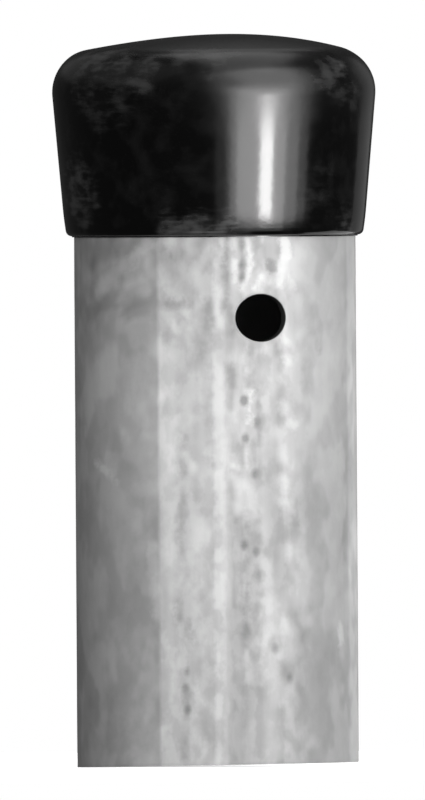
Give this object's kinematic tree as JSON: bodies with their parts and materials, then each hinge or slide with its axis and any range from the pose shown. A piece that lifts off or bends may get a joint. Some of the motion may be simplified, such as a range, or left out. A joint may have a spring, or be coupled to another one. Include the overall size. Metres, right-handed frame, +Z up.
{
  "type": "round fence post",
  "caption": "Short length of round galvanised steel fence post with a drilled wire hole and a pressed-on domed black plastic cap.",
  "frame": {"origin": "centre of the tube's sawn foot, on the surface that the post stands on", "axes": "+Z up along the tube, towards the crown; the drilled hole runs along Y with its front mouth facing -Y"},
  "size_m": [0.0688, 0.0688, 0.1561],
  "materials": {
    "galvanised_steel": "hot-dip galvanised, dull silver grey with drawn streaks and small zinc pimples",
    "black_plastic": "moulded, semi-gloss black, lightly scuffed from handling"
  },
  "bodies": {
    "root": {"post_tube": "galvanised_steel", "post_cap": "black_plastic"}
  },
  "joints": []
}
